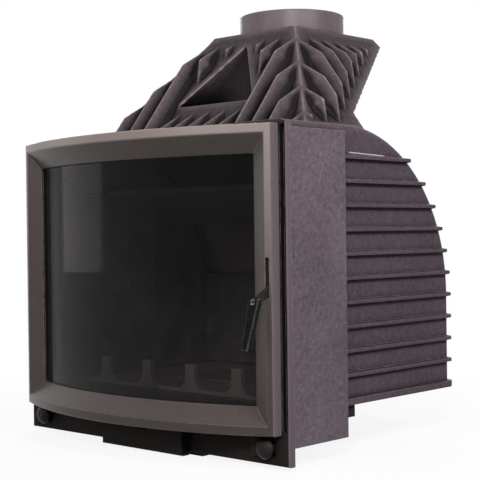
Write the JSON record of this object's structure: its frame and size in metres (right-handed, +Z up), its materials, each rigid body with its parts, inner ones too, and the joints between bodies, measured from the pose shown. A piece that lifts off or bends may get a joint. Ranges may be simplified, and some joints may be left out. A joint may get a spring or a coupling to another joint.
{
  "type": "fireplace insert",
  "caption": "Cast-iron wood-burning fireplace insert with a bowed glass door, finned round-backed firebox, pleated leaning hood, round flue collar, air knobs and an ash drawer.",
  "frame": {"origin": "centre of the ash box underside, on which the insert stands", "axes": "+X to the right seen from the front, +Y to the back, +Z up along the flue"},
  "size_m": [0.7, 0.679, 0.859],
  "materials": {
    "painted_iron": "matte anthracite stove paint on sand-cast iron",
    "raw_iron": "bare sooty cast iron",
    "sheet_steel": "black stove paint on sheet steel",
    "steel": "plain turned steel",
    "black_enamel": "glossy black enamel",
    "glass": "clear ceramic glass",
    "glass_fibre_rope": "black woven glass-fibre rope"
  },
  "bodies": {
    "casing": {"front_plate": "painted_iron", "door_seal": "glass_fibre_rope", "ash_box": "sheet_steel", "base_plate": "painted_iron", "grate": "raw_iron", "air_duct_left": "sheet_steel", "air_duct_right": "sheet_steel", "shell_left": "painted_iron", "shell_right": "painted_iron", "back_wall": "painted_iron", "rear_vault": "painted_iron", "top_plate": "painted_iron", "side_panel_left": "painted_iron", "side_panel_right": "painted_iron", "side_liner_left": "raw_iron", "side_liner_right": "raw_iron", "smoke_baffle": "raw_iron", "fireback": "raw_iron", "log_guard": "raw_iron", "air_wash_deflector": "sheet_steel", "hood_front": "painted_iron", "hood_left": "painted_iron", "hood_right": "painted_iron", "hood_back": "painted_iron", "hood_roof": "painted_iron", "hood_passage": "painted_iron", "flue_collar": "painted_iron", "hinge_brackets": "painted_iron", "hinge_pins": "steel", "latch_keeper": "steel"},
    "door": {"door_frame": "painted_iron", "glass_clips": "steel", "clip_screws": "steel", "door_glass": "glass", "glass_gasket": "glass_fibre_rope", "door_lugs": "painted_iron", "handle_bearing": "painted_iron"},
    "handle": {"handle_lever": "steel", "handle_grip": "black_enamel", "handle_pin": "steel", "latch_hook": "steel"},
    "air_control_left": {"air_knob_left": "painted_iron", "air_shutter_left": "sheet_steel"},
    "air_control_right": {"air_knob_right": "painted_iron", "air_shutter_right": "sheet_steel"},
    "ash_drawer": {"ash_pan": "sheet_steel", "ash_pan_front": "painted_iron"}
  },
  "joints": [
    {"name": "door_swing", "type": "hinge", "parent": "casing", "child": "door", "pos_m": [-0.3415, -0.188, 0.3], "axis": [0, 0, -1], "range_deg": [0, 105]},
    {"name": "handle_lift", "type": "hinge", "parent": "door", "child": "handle", "pos_m": [0.326, -0.1915, 0.322], "axis": [-1, 0, 0], "range_deg": [0, 65]},
    {"name": "air_left_turn", "type": "hinge", "parent": "casing", "child": "air_control_left", "pos_m": [-0.302, -0.19, 0.038], "axis": [0, 1, 0], "range_deg": [0, 45]},
    {"name": "air_right_turn", "type": "hinge", "parent": "casing", "child": "air_control_right", "pos_m": [0.302, -0.19, 0.038], "axis": [0, 1, 0], "range_deg": [0, 45]},
    {"name": "ash_drawer_slide", "type": "slide", "parent": "casing", "child": "ash_drawer", "axis": [0, -1, 0], "range_m": [0, 0.25]}
  ]
}
